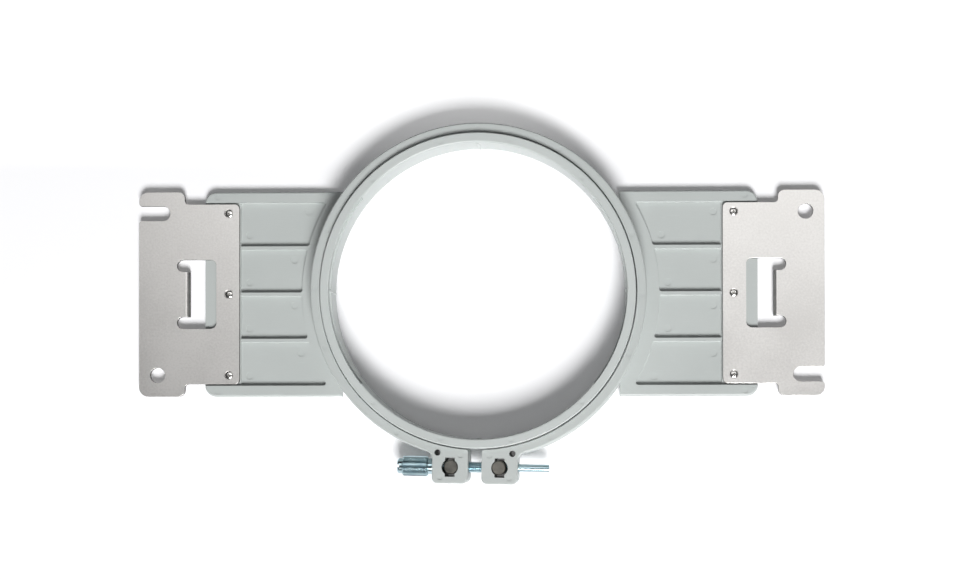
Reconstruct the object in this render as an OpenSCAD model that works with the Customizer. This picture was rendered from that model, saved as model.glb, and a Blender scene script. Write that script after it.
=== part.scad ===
// Round tubular hoop for an embroidery machine, lying with its needle plate side up.
// Z = 0 is the table, and the origin is on the axis of the rings. X runs from plate to plate,
// and the clamp is on the -Y side. Millimetres.

/* [Rings] */
// Bore of the inner ring, the round sewing field
field_d = 150; // [120:1:176]
// Wall of the inner ring
inner_wall = 5; // [4:0.5:7]
// Height of the inner ring
inner_h = 17.5; // [13:0.5:20]
// How far the inner ring stands out of the outer ring
inner_proud = 2.5; // [0.5:0.5:3]
// Rounding of the inner ring's upper inside edge
inner_round = 1; // [0.4:0.05:1.6]
// Rounding of the inner ring's upper outside edge
inner_round_out = 0.6; // [0.3:0.05:1.6]
// Depth of the two rebates in the inner ring's upper inside edge, along the radius
rebate_in = 0.7; // [0.6:0.1:1.8]
// Height of those rebates
rebate_h = 3.5; // [1.5:0.5:5]
// Angle that each rebate spans
rebate_span = 77; // [20:1:120]
// How far the four centre marks stand out of the inner ring's bore
mark_out = 0.35; // [0.2:0.05:0.6]
// Room between the two rings for the cloth and its backing
cloth_gap = 0.6; // [0.3:0.1:0.9]
// Wall of the outer ring
outer_wall = 4.9; // [4:0.1:7]
// Height of the outer ring
outer_h = 18; // [16:1:22]
// Rounding of the outer ring's upper outside edge
outer_round = 1; // [0.4:0.1:1.6]
// How far the foot rim stands out of the outer ring
rim_out = 0.6; // [0.3:0.1:1.5]

/* [Arms] */
// Width of both arms, across Y
arm_w = 106.4; // [100:0.2:112]
// Height of the arm flanges, ribs and foot rim
arm_h = 4.2; // [3.8:0.1:6]
// Thickness of the arm floor in the pockets
floor_t = 2; // [1.2:0.1:2.2]
// Height of the seat under a mount plate
seat_h = 2.6; // [2.3:0.1:3]
// How far the arm reaches under its mount plate
arm_under_plate = 18.1; // [17:0.1:20]
// Corner radius of the arm's outer end
arm_corner = 6; // [3:0.5:9]
// Rounding of the arm's upper outside edges
arm_round = 1.2; // [0.4:0.1:1.6]
// Width of the flange along each arm edge
flange_w = 5.7; // [4:0.1:8]
// Width of the full-height band between the outer ring and the pockets
band_w = 7; // [3:0.5:10]
// Thickness of an arm rib
rib_t = 1.6; // [1:0.1:2.6]
// Distance between neighbouring ribs
rib_pitch = 24; // [18:0.5:26]
// Seat that shows beside the plate's inner edge
seat_ledge = 0.6; // [0.3:0.1:1.5]

/* [Mount plates] */
// Overall width of the hoop across both plates
hoop_span = 355; // [340:1:380]
// Width of a plate, across X
plate_w = 52.3; // [50:0.1:56]
// Thickness of a plate
plate_t = 1.8; // [1.5:0.1:2.2]
// Space between a plate and the arm flange
plate_gap = 0.8; // [0.3:0.1:1.5]
// Height of a plate across its ears, along Y
ear_span = 106.2; // [102:0.2:112]
// Width of the ears, across X
ear_w = 23.9; // [22:0.1:26]
// Corner radius of a plate's body
plate_corner = 2.4; // [0.8:0.1:3]
// Corner radius at the plate's outer end
ear_corner = 4.8; // [2:0.1:5]
// Corner radius of the ears where they step down to the body
ear_step_corner = 3.4; // [1:0.1:3.6]
// Fillet in that step
ear_fillet = 1.9; // [0.5:0.1:2.2]
// Locating hole diameter
hole_d = 7.8; // [6:0.1:9]
// Distance of the locating hole from the plate's outer edge
hole_edge = 9.7; // [8:0.1:12]
// Width of the locating notch
notch_w = 7.6; // [6:0.1:9]
// Length of the locating notch, from the plate's outer edge
notch_l = 16.2; // [12:0.1:18]
// Corner radius at the mouth of the notch
notch_corner = 1.5; // [0.5:0.1:2]
// Distance of the locating hole and notch from the middle, along Y
locate_y = 42; // [38:0.5:44]
// Distance of the window from the plate's inner edge
window_edge = 12; // [10.5:0.1:13]
// Width of the window, across X
window_w = 14.3; // [12:0.1:16]
// Length of the window, along Y
window_l = 35.8; // [30:0.2:42]
// Width of the reliefs on both sides of the bent lip
relief_w = 6.2; // [4:0.1:8]
// How far the reliefs reach past the lip's face
relief_l = 6.2; // [5:0.1:8]
// How far the lip is bent down below the plate's top
lip_drop = 3.7; // [2.8:0.1:4]

/* [Plate screws] */
// Distance of the screws from the plate's inner edge
screw_edge = 5.6; // [4:0.1:7]
// Distance of the outer screws from the plate's long edges
screw_side = 4.7; // [3.5:0.1:8]
// Thread diameter of a plate screw
screw_d = 2.5; // [2:0.1:3]
// Head diameter of a plate screw
screw_head_d = 4.4; // [4.2:0.1:5]
// Height of a screw's tip above the foot of its insert
screw_short = 0.2; // [0.1:0.1:0.8]
// Height of the straight rim of a countersunk head
head_rim = 0.2; // [0.1:0.05:0.4]
// Outer diameter of a threaded insert
insert_d = 4; // [3.6:0.1:5]
// Length of a threaded insert
insert_l = 2; // [1.4:0.1:2.1]

/* [Clamp] */
// Angle of the clamp round the rings, from straight down
clamp_turn = -1.15; // [-5:0.05:5]
// Gap between the two lugs
clamp_gap = 7; // [4:0.5:12]
// Width of a lug, along the screw
lug_w = 18.25; // [16:0.25:22]
// Distance of the lug's front face from the ring axis, less the outer ring's radius
lug_reach = 12.5; // [11:0.5:15]
// Corner radius of a lug's front
lug_corner = 3; // [1.5:0.5:5]
// Corner radius of a lug at the gap, beside the inner ring
lug_gap_corner = 1.7; // [0.5:0.1:2.2]
// Fillet between a lug and the outer ring
lug_fillet = 4; // [2:0.5:6]
// Rounding of a lug's upper edges
lug_round = 1.2; // [0.4:0.1:1.6]
// Distance of the screw axis from the lug's front face
screw_front = 8.35; // [7.5:0.05:9]
// Height of the screw axis
screw_z = 9.5; // [8:0.1:10]
// Bore for a barrel, from top to bottom of a lug
barrel_bore_d = 8.4; // [8.2:0.1:9]
// Diameter of a barrel
barrel_d = 7.3; // [7:0.1:7.4]
// Width of the keyway through a barrel bore
key_w = 5; // [3:0.1:6]
// Length of the keyway through a barrel bore
key_l = 9.7; // [9.2:0.1:10.5]
// How far a barrel's ends lie below the faces of the lug
barrel_sunk = 0.7; // [0.3:0.1:2]
// Side hole beside each lug
side_hole_d = 3.2; // [2:0.1:4]
// Distance of that hole from the gap side of its lug
side_hole_x = 15.5; // [14:0.1:16.5]
// Distance of that hole from the outer ring's bore
side_hole_in = 3.9; // [3.4:0.1:4.5]

/* [Clamp screw] */
// Thread diameter
thread_d = 6; // [5:0.5:6]
// Thread pitch
thread_pitch = 1; // [0.8:0.1:1.2]
// Clearance hole through the lugs
clear_d = 6.6; // [6.4:0.1:7]
// Knurled head diameter
head_d = 10.3; // [9:0.1:12]
// Chamfer at both ends of the knurled head
head_chamfer = 0.8; // [0.3:0.1:1.2]
// Knurled head length
head_l = 13.3; // [8:0.1:18]
// Collar and domed end diameter
collar_d = 8; // [7.4:0.1:8.8]
// Collar length
collar_l = 2.65; // [1.5:0.05:4]
// Length of the domed end beyond the knurled head
dome_l = 2.9; // [1.8:0.1:4]
// Rounding of the domed end
dome_round = 1.2; // [0.6:0.1:1.6]
// Width of the screwdriver slot
slot_w = 1.5; // [0.8:0.1:2]
// Depth of the screwdriver slot
slot_depth = 1.6; // [0.8:0.1:2]
// Number of knurl ridges round the head
knurls = 40; // [24:1:48]
// Depth of the knurling
knurl_depth = 0.4; // [0.2:0.05:0.6]
// Diameter of the plain end
dog_d = 3.9; // [3:0.1:4.4]
// Length of the plain end outside the lug
dog_l = 15.8; // [4:0.1:20]

/* [Hidden] */

// Finish colours
plastic = [0.72, 0.75, 0.74];
ring_plastic = [0.75, 0.77, 0.76];
steel = [0.79, 0.78, 0.76];
bright_steel = [0.85, 0.86, 0.87];
zinc = [0.66, 0.72, 0.74];
dark_steel = [0.42, 0.42, 0.38];
brass = [0.80, 0.65, 0.35];

fine = 180;
small = 48;
over = 1;
// Clearance of a shaft that turns in its hole, and of a pressed or moulded piece in its seat
run_gap = 0.04;
seat_gap = 0.02;

// Rings
field_r = field_d/2;
inner_r = field_r + inner_wall;
bore_r = inner_r + cloth_gap;
outer_r = bore_r + outer_wall;
rim_r = outer_r + rim_out;
inner_top = outer_h + inner_proud;
inner_foot = inner_top - inner_h;
mark_r = 0.6;
edge_break = 0.4;

// Arms and plates
plate_out_x = hoop_span/2;
plate_in_x = plate_out_x - plate_w;
arm_end_x = plate_in_x + arm_under_plate;
flange_in_y = arm_w/2 - flange_w;
plate_y = flange_in_y - plate_gap;
plate_top = seat_h + plate_t;
pocket_end_x = plate_in_x - seat_ledge;
pocket_start_r = outer_r + band_w;
ear_in_x = plate_out_x - ear_w;
screw_x = plate_in_x + screw_edge;
side_screw_y = plate_y - screw_side;
screw_ys = [side_screw_y, 0, -side_screw_y];
window_in_x = plate_in_x + window_edge;
lip_x = window_in_x + window_w;
relief_y = (window_l - relief_w)/2;
relief_end_x = lip_x + relief_l;
lip_half = relief_y - relief_w/2;

// Plate screws
screw_hole_d = screw_d + 0.2;
screw_l = plate_t + insert_l - screw_short;
head_gap = 0.1;
head_h = (screw_head_d - screw_d)/2 + head_rim;
recess_w = 0.5;
recess_l = 2.2;
recess_h = 0.7;
groove_depth = 0.3;
groove_slope = 0.1;

// Clamp, in the clamp's own frame with the gap in the middle of X
lug_in_x = clamp_gap/2;
lug_out_x = lug_in_x + lug_w;
lug_mid_x = lug_in_x + lug_w/2;
lug_front_y = -(outer_r + lug_reach);
screw_y = lug_front_y + screw_front;
lug_seat_r = bore_r + outer_wall/3;
arm_seat_r = bore_r + outer_wall/2;
// The screw pulls both barrels to within this distance of the gap side of their bores
barrel_rest_gap = 0.05;
barrel_shift = (barrel_bore_d - barrel_d)/2 - barrel_rest_gap;
barrel_h = outer_h - 2*barrel_sunk;
barrel_chamfer = 0.5;
side_hole_r = bore_r + side_hole_in;
side_hole_mid_x = lug_in_x + side_hole_x;
// Thread form: depth of the groove and where its corners lie within one pitch
thread_depth = 0.61*thread_pitch;
thread_form = [[0, 0.06], [1, 0.45], [1, 0.55], [0, 0.94]];
thread_run_out = 1;
thread_tip = 0.5;
dog_tip = 0.4;
collar_tip = 0.3;
crown = 0.3;
collar_x = -lug_out_x - seat_gap;
head_x = collar_x - collar_l;
dome_x = head_x - head_l;
tip_x = lug_out_x + dog_l;
thread_end_x = lug_mid_x + barrel_d/2 + barrel_shift + thread_run_out;

// Points of a quarter round about [x, y] from one angle to another
function arc_points(x, y, r, from, to, steps) =
    [for (i = [0:steps]) let (a = from + (to - from)*i/steps) [x + r*cos(a), y + r*sin(a)]];

module ring_profile(r_in, r_out, z0, z1, round_in, round_out) {
    polygon(concat([[r_in, z0 + edge_break], [r_in + edge_break, z0],
            [r_out - edge_break, z0], [r_out, z0 + edge_break]],
        arc_points(r_out - round_out, z1 - round_out, round_out, 0, 90, 4),
        arc_points(r_in + round_in, z1 - round_in, round_in, 90, 180, 4)));
}

module in_clamp_frame() {
    rotate([0, 0, clamp_turn]) children();
}

// A right side piece, and the same piece turned half a turn for the left side
module at_side(side) {
    rotate([0, 0, side > 0 ? 0 : 180]) children();
}

// Rounded rectangle from exact circles and squares
module round_rect(x0, y0, x1, y1, r) {
    translate([x0 + r, y0]) square([x1 - x0 - 2*r, y1 - y0]);
    translate([x0, y0 + r]) square([x1 - x0, y1 - y0 - 2*r]);
    for (x = [x0 + r, x1 - r], y = [y0 + r, y1 - r]) translate([x, y]) circle(r, $fn = small);
}

// Bar along X with its two upper edges rounded
module rounded_top(x0, x1, y0, y1, h, r) {
    rotate([90, 0, 90]) translate([0, 0, x0]) linear_extrude(x1 - x0)
        polygon(concat([[y1, 0]], arc_points(y1 - r, h - r, r, 0, 90, 4),
            arc_points(y0 + r, h - r, r, 90, 180, 4), [[y0, 0]]));
}

module outer_ring() {
    rotate_extrude($fn = fine)
        ring_profile(bore_r, outer_r, 0, outer_h, edge_break, outer_round);
    rotate_extrude($fn = fine)
        ring_profile(arm_seat_r, rim_r, 0, arm_h, edge_break, rim_out);
}

module arm_outline() {
    square_y = arm_w/2 - arm_corner;
    translate([0, -arm_w/2]) square([arm_end_x - arm_corner, arm_w]);
    translate([0, -square_y]) square([arm_end_x, 2*square_y]);
    for (y = [-square_y, square_y])
        translate([arm_end_x - arm_corner, y]) circle(arm_corner, $fn = small);
}

module pocket(y0, y1) {
    translate([0, 0, floor_t]) linear_extrude(arm_h) difference() {
        translate([0, y0]) square([pocket_end_x, y1 - y0]);
        circle(pocket_start_r, $fn = fine);
    }
}

module arm() {
    edges = [-flange_in_y, -rib_pitch, 0, rib_pitch, flange_in_y];
    difference() {
        intersection() {
            linear_extrude(arm_h) arm_outline();
            rounded_top(-over, arm_end_x + over, -arm_w/2, arm_w/2, arm_h, arm_round);
            rotate([0, 0, -90])
                rounded_top(-arm_w/2, arm_w/2, 0, arm_end_x, arm_h, arm_round);
        }
        for (i = [0:3]) {
            foot = i == 0 ? 0 : rib_t/2;
            head = i == 3 ? 0 : rib_t/2;
            pocket(edges[i] + foot, edges[i + 1] - head);
        }
        translate([pocket_end_x, -flange_in_y, seat_h])
            cube([arm_under_plate + seat_ledge + over, 2*flange_in_y, arm_h]);
        for (y = screw_ys) translate([screw_x, y, seat_h - insert_l - seat_gap])
            cylinder(insert_l + over, d = insert_d + 2*seat_gap, $fn = small);
    }
}

// Outline of the right lug, with the fillet that joins it to the ring
module lug_outline() {
    fillet_x = lug_out_x + lug_fillet;
    fillet_y = -sqrt(pow(outer_r + lug_fillet, 2) - pow(fillet_x, 2));
    touch = outer_r/(outer_r + lug_fillet);
    seat_y = -sqrt(pow(lug_seat_r, 2) - pow(lug_out_x, 2));
    difference() {
        union() {
            round_rect(lug_in_x, lug_front_y, lug_out_x, seat_y + lug_corner + over, lug_corner);
            difference() {
                polygon([[lug_out_x - over, fillet_y], [fillet_x, fillet_y],
                    [fillet_x*touch, fillet_y*touch], [lug_out_x - over, seat_y]]);
                translate([fillet_x, fillet_y]) circle(lug_fillet, $fn = small);
            }
        }
        circle(lug_seat_r, $fn = fine);
    }
}

// Bores that are open along Z through the right lug
module lug_bores() {
    translate([lug_mid_x, screw_y, -over]) {
        cylinder(outer_h + 2*over, d = barrel_bore_d, $fn = small);
        translate([-key_w/2, -key_l/2, 0]) cube([key_w, key_l, outer_h + 2*over]);
    }
    translate([side_hole_mid_x, -sqrt(pow(side_hole_r, 2) - pow(side_hole_mid_x, 2)), -over])
        cylinder(outer_h + 2*over, d = side_hole_d, $fn = small);
}

// Corner to take off the ring's end, beside the gap, so that it ends in a rounding
module gap_corner() {
    x = lug_in_x + lug_gap_corner;
    y = -sqrt(pow(bore_r + lug_gap_corner, 2) - pow(x, 2));
    touch = bore_r/(bore_r + lug_gap_corner);
    translate([0, 0, -over]) linear_extrude(outer_h + 2*over) difference() {
        polygon([[0, y], [x, y], [x*touch, y*touch], [0, y*touch + over]]);
        translate([x, y]) circle(lug_gap_corner, $fn = small);
    }
}

module lug_solid() {
    intersection() {
        linear_extrude(outer_h) lug_outline();
        rounded_top(0, lug_out_x + 3*lug_fillet, lug_front_y, 0, outer_h, lug_round);
    }
}

module outer_frame() color(plastic) {
    difference() {
        union() {
            outer_ring();
            for (side = [-1, 1]) at_side(side) difference() {
                arm();
                translate([0, 0, -over]) cylinder(arm_h + 2*over, r = arm_seat_r, $fn = fine);
            }
            in_clamp_frame() for (m = [0, 1]) mirror([m, 0, 0]) lug_solid();
        }
        in_clamp_frame() {
            for (m = [0, 1]) mirror([m, 0, 0]) {
                lug_bores();
                gap_corner();
            }
            translate([-lug_in_x, lug_front_y - over, -over])
                cube([clamp_gap, outer_wall + lug_reach + 3*over, outer_h + 2*over]);
            translate([-lug_out_x - over, screw_y, screw_z]) rotate([0, 90, 0])
                cylinder(2*(lug_out_x + over), d = clear_d, $fn = small);
        }
    }
}

module inner_ring() color(ring_plastic) {
    difference() {
        rotate_extrude($fn = fine)
            ring_profile(field_r, inner_r, inner_foot, inner_top, inner_round, inner_round_out);
        for (a = [0, 180]) rotate([0, 0, a - rebate_span/2])
            rotate_extrude(angle = rebate_span, $fn = fine)
                translate([field_r - over, inner_top - rebate_h])
                    square([rebate_in + over, rebate_h + over]);
    }
    for (a = [0:90:270]) rotate([0, 0, a])
        translate([field_r - mark_out + mark_r, 0, inner_foot + edge_break])
            cylinder(inner_h - rebate_h - 2*edge_break, r = mark_r, $fn = small);
}

module plate_outline() {
    ear_y = ear_span/2;
    round_rect(plate_in_x, -plate_y, plate_out_x, plate_y, plate_corner);
    round_rect(ear_in_x, -ear_y, plate_out_x - ear_corner, ear_y, ear_step_corner);
    round_rect(plate_out_x - 3*ear_corner, -ear_y, plate_out_x, ear_y, ear_corner);
    for (m = [0, 1]) mirror([0, m, 0]) difference() {
        translate([ear_in_x - ear_fillet, plate_y - over])
            square([ear_fillet + over, ear_fillet + over]);
        translate([ear_in_x - ear_fillet, plate_y + ear_fillet]) circle(ear_fillet, $fn = small);
    }
}

// Notch that is open at the plate's outer edge, with rounded corners at its mouth
module plate_notch() {
    end_x = plate_out_x - notch_l + notch_w/2;
    translate([end_x, -locate_y]) circle(d = notch_w, $fn = small);
    translate([end_x, -locate_y - notch_w/2]) square([notch_l, notch_w]);
    translate([plate_out_x - notch_corner, -locate_y]) for (m = [0, 1]) mirror([0, m, 0])
        difference() {
            translate([0, notch_w/2 - over]) square([notch_corner + over, notch_corner + over]);
            translate([0, notch_w/2 + notch_corner]) circle(notch_corner, $fn = small);
        }
}

module plate_window() {
    round_rect(window_in_x, -window_l/2, lip_x, window_l/2, relief_w/2);
    translate([lip_x - window_w/2, -window_l/2]) square([window_w/2, window_l]);
    for (y = [-relief_y, relief_y]) {
        translate([relief_end_x - relief_w/2, y]) circle(d = relief_w, $fn = small);
        translate([lip_x - over, y - relief_w/2]) square([relief_l - relief_w/2 + over, relief_w]);
    }
}

module mount_plate() color(steel) {
    difference() {
        translate([0, 0, seat_h]) linear_extrude(plate_t) difference() {
            plate_outline();
            plate_window();
            translate([plate_out_x - hole_edge, locate_y]) circle(d = hole_d, $fn = small);
            plate_notch();
        }
        for (y = screw_ys) translate([screw_x, y, 0]) {
            cylinder(plate_top, d = screw_hole_d, $fn = small);
            translate([0, 0, plate_top]) screw_head(head_gap);
        }
    }
    translate([lip_x, -lip_half, plate_top - lip_drop]) cube([plate_t, 2*lip_half, lip_drop]);
}

// Countersunk head with its top at Z = 0, grown by a clearance for the countersink
module screw_head(grow) {
    rotate_extrude($fn = small) polygon([[0, over*sign(grow)], [screw_head_d/2 + grow, over*sign(grow)],
        [screw_head_d/2 + grow, -head_rim], [screw_d/2 + grow, -head_h], [0, -head_h]]);
}

module plate_screw(y) color(bright_steel) {
    translate([screw_x, y, plate_top]) difference() {
        union() {
            screw_head(0);
            translate([0, 0, -screw_l]) cylinder(screw_l - head_rim, d = screw_d, $fn = small);
        }
        for (a = [45, 135]) rotate([0, 0, a])
            translate([-recess_l/2, -recess_w/2, -recess_h]) cube([recess_l, recess_w, recess_h + over]);
    }
}

module plate_insert(y) color(brass) {
    r = insert_d/2;
    groove = insert_l/3;
    translate([screw_x, y, seat_h - insert_l]) difference() {
        rotate_extrude($fn = small) polygon([[0, 0], [r, 0], [r, groove],
            [r - groove_depth, groove + groove_slope], [r - groove_depth, 2*groove - groove_slope],
            [r, 2*groove], [r, insert_l], [0, insert_l]]);
        translate([0, 0, -over]) cylinder(insert_l + 2*over, d = screw_d + 2*seat_gap, $fn = small);
    }
}

// Barrel with chamfered ends, standing in a lug with the screw's hole across it
module barrel_at(x) {
    r = barrel_d/2;
    translate([x, screw_y, barrel_sunk]) difference() {
        rotate_extrude($fn = small) polygon([[0, 0], [r - barrel_chamfer, 0], [r, barrel_chamfer],
            [r, barrel_h - barrel_chamfer], [r - barrel_chamfer, barrel_h], [0, barrel_h]]);
        translate([-barrel_d, 0, screw_z - barrel_sunk]) rotate([0, 90, 0])
            cylinder(2*barrel_d, d = thread_d + 2*run_gap, $fn = small);
    }
}

module clamp_barrel() color(dark_steel) in_clamp_frame() barrel_at(barrel_shift - lug_mid_x);

module clamp_nut() color(dark_steel) in_clamp_frame() barrel_at(lug_mid_x - barrel_shift);

// Half section of the thread, one V groove for each turn
module thread_profile(x0, x1) {
    turns = floor((x1 - x0)/thread_pitch);
    crest = thread_d/2;
    polygon(concat([[0, x0], [crest, x0]],
        [for (i = [0:turns - 2], p = thread_form)
            [crest - p[0]*thread_depth, x0 + (i + p[1])*thread_pitch]],
        [[crest, x1 - thread_tip], [crest - thread_tip, x1], [0, x1]]));
}

module knurled_head() {
    ridge = 360/knurls;
    linear_extrude(head_l) polygon([for (i = [0:knurls - 1], s = [0:3])
        let (r = head_d/2 - (s < 2 ? 0 : knurl_depth), a = (i + s/4)*ridge) [r*cos(a), r*sin(a)]]);
}

// Outline of the head between its chamfers
module head_profile() {
    r = head_d/2;
    polygon([[0, dome_x], [r - head_chamfer, dome_x], [r, dome_x + head_chamfer],
        [r, head_x - head_chamfer], [r - head_chamfer, head_x], [0, head_x]]);
}

module dome_profile() {
    r = collar_d/2;
    foot_x = dome_x - dome_l + crown;
    polygon(concat([[0, dome_x + over], [r, dome_x + over]],
        arc_points(r - dome_round, foot_x + dome_round, dome_round, 0, -90, 4), [[0, foot_x - crown]]));
}

module collar_profile() {
    r = collar_d/2;
    polygon([[0, head_x - over], [r, head_x - over], [r, collar_x - collar_tip],
        [r - collar_tip, collar_x], [0, collar_x]]);
}

module dog_profile() {
    r = dog_d/2;
    polygon([[0, thread_end_x - over], [r, thread_end_x - over], [r, tip_x - dog_tip],
        [r - dog_tip, tip_x], [0, tip_x]]);
}

module clamp_screw() color(zinc) in_clamp_frame()
    translate([0, screw_y, screw_z]) rotate([0, 90, 0]) {
        difference() {
            union() {
                intersection() {
                    translate([0, 0, dome_x]) knurled_head();
                    rotate_extrude($fn = small) head_profile();
                }
                rotate_extrude($fn = small) dome_profile();
            }
            translate([-collar_d, -slot_w/2, dome_x - dome_l - over])
                cube([2*collar_d, slot_w, slot_depth + over]);
        }
        rotate_extrude($fn = small) collar_profile();
        rotate_extrude($fn = small) thread_profile(collar_x - over, thread_end_x);
        rotate_extrude($fn = small) dog_profile();
    }

outer_frame();
inner_ring();
at_side(-1) mount_plate();  // left_mount_plate
at_side(1) mount_plate();  // right_mount_plate
at_side(-1) plate_screw(-side_screw_y);  // left_plate_screw_back
at_side(-1) plate_screw(0);  // left_plate_screw_middle
at_side(-1) plate_screw(side_screw_y);  // left_plate_screw_front
at_side(1) plate_screw(side_screw_y);  // right_plate_screw_back
at_side(1) plate_screw(0);  // right_plate_screw_middle
at_side(1) plate_screw(-side_screw_y);  // right_plate_screw_front
at_side(-1) plate_insert(-side_screw_y);  // left_plate_insert_back
at_side(-1) plate_insert(0);  // left_plate_insert_middle
at_side(-1) plate_insert(side_screw_y);  // left_plate_insert_front
at_side(1) plate_insert(side_screw_y);  // right_plate_insert_back
at_side(1) plate_insert(0);  // right_plate_insert_middle
at_side(1) plate_insert(-side_screw_y);  // right_plate_insert_front
clamp_screw();
clamp_barrel();
clamp_nut();
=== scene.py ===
# %% [markdown]
# # A tubular embroidery hoop, dressed for its portrait
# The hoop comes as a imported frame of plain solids: one plastic moulding with two arms, a loose inner
# ring, two stamped mount plates with their screws, and a clamp with a thumbscrew. This lesson makes a
# finished piece for each one, in the same place and at the same size, and gives it a real surface.
# Everything is in metres with the origin on the rings' axis, on the table.

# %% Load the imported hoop
import math

import bmesh
import bpy
from mathutils import Matrix, Vector


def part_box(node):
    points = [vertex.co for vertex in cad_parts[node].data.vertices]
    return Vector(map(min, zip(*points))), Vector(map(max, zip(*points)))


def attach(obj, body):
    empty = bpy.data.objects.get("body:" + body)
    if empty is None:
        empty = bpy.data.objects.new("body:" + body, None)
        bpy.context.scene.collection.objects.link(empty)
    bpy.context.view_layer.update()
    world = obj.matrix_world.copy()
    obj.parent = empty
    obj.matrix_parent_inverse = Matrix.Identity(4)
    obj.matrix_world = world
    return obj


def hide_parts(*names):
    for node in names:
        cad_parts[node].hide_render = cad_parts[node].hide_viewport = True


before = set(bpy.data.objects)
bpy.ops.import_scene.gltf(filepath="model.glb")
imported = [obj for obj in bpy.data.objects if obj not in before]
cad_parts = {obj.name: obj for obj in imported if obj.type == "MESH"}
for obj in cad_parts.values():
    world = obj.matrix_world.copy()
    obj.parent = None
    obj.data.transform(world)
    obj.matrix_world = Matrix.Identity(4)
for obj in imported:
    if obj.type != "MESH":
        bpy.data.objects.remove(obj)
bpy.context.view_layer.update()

# %% [markdown]
# Small parts are measured in millimetres, and booleans and bevels are surer of themselves at that size,
# so each piece is modelled with one Blender unit for a millimetre and shrunk to metres when it is
# finished. Each operator acts on all that is selected, and the loaded solids start out selected, so
# `only` clears the selection first. `pick` then selects the vertices, edges or faces that pass a test of
# where they are.

# %% Select one piece, or some of its parts
MM = 0.001
UP = Vector((0, 0, 1))


def only(piece):
    """Makes one piece the only selected one."""
    bpy.ops.object.select_all(action="DESELECT")
    piece.select_set(True)
    bpy.context.view_layer.objects.active = piece


def pick(piece, kind, test):
    """Enters edit mode with the parts selected whose corners pass a test."""
    only(piece)
    bpy.ops.object.mode_set(mode="EDIT")
    bpy.ops.mesh.select_mode(type=kind)
    bpy.ops.mesh.select_all(action="DESELECT")
    mesh = bmesh.from_edit_mesh(piece.data)
    parts = {"VERT": mesh.verts, "EDGE": mesh.edges, "FACE": mesh.faces}[kind]
    chosen = 0
    for part in parts:
        corners = [part.co] if kind == "VERT" else [v.co for v in part.verts]
        if test(*corners):
            part.select_set(True)
            chosen += 1
    mesh.select_flush_mode()
    bmesh.update_edit_mesh(piece.data)
    return chosen


def leave_edit():
    """Goes back to object mode."""
    bpy.ops.object.mode_set(mode="OBJECT")


print("helpers ready: only, pick, leave_edit")

# %% [markdown]
# Most of the hoop is either turned or cut from flat stock, and both start as a line. A line is drawn the
# way one would with the mouse: a single vertex is extruded from point to point. `rounded` puts an arc in
# each corner that has a radius, so a corner is written as x, y and radius.

# %% Draw lines and outlines
def arc(x, y, radius, start, end, steps=6):
    """Points of an arc about x, y between two angles in degrees."""
    angles = [math.radians(start + (end - start)*i/steps) for i in range(steps + 1)]
    return [(x + radius*math.cos(a), y + radius*math.sin(a)) for a in angles]


def rounded(corners, steps=6):
    """A closed outline with an arc of its own radius in each corner."""
    points = []
    for i, (x, y, radius) in enumerate(corners):
        here = Vector((x, y))
        if radius == 0:
            points.append((x, y))
            continue
        back = (Vector(corners[i - 1][:2]) - here).normalized()
        ahead = (Vector(corners[(i + 1) % len(corners)][:2]) - here).normalized()
        half = back.angle(ahead)/2
        middle = here + (back + ahead).normalized()*(radius/math.sin(half))
        first = here + back*(radius/math.tan(half)) - middle
        last = here + ahead*(radius/math.tan(half)) - middle
        turn = first.angle_signed(last)
        for k in range(steps + 1):
            spoke = first.copy()
            spoke.rotate(Matrix.Rotation(-turn*k/steps, 2))
            points.append(tuple(middle + spoke))
    return points


def draw(name, points, closed=True):
    """Draws a line through points by extruding a single vertex."""
    bpy.ops.object.select_all(action="DESELECT")
    bpy.ops.mesh.primitive_plane_add(size=1)
    piece = bpy.context.object
    piece.name = piece.data.name = name
    bpy.ops.object.mode_set(mode="EDIT")
    bpy.ops.mesh.select_mode(type="VERT")
    bpy.ops.mesh.merge(type="CENTER")
    points = [Vector(p) for p in points]
    bpy.ops.transform.translate(value=points[0])
    for here, there in zip(points, points[1:]):
        bpy.ops.mesh.extrude_region_move(TRANSFORM_OT_translate={"value": there - here})
    if closed:
        bpy.ops.mesh.select_all(action="SELECT")
        bpy.ops.mesh.edge_face_add()
    leave_edit()
    return piece


print("a rounded square has", len(rounded([(0, 0, 1), (9, 0, 1), (9, 9, 1), (0, 9, 1)])), "points")

# %% [markdown]
# Turned parts come from spinning a drawn half section round an axis. Flat parts come from extruding an
# outline. Both are cleaned in the same order: doubles are merged, and then the faces are made to point
# outwards. `tell` prints what was made and counts the edges that aren't shared by exactly two faces, so a
# hole in a surface shows at once.

# %% Spin and extrude
FINE, SMALL = 256, 64


def tell(piece):
    """Prints a piece's faces, volume and open edges."""
    mesh = bmesh.new()
    mesh.from_mesh(piece.data)
    open_edges = sum(1 for e in mesh.edges if len(e.link_faces) != 2)
    print(f"{piece.name}: {len(mesh.faces)} faces, {mesh.calc_volume():.0f} mm3, "
          f"{open_edges} open edges")
    mesh.free()


def close_up(piece):
    """Merges doubles and turns all faces outwards."""
    only(piece)
    bpy.ops.object.mode_set(mode="EDIT")
    bpy.ops.mesh.select_mode(type="VERT")
    bpy.ops.mesh.select_all(action="SELECT")
    bpy.ops.mesh.remove_doubles(threshold=0.002)
    bpy.ops.mesh.normals_make_consistent(inside=False)
    leave_edit()


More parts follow.
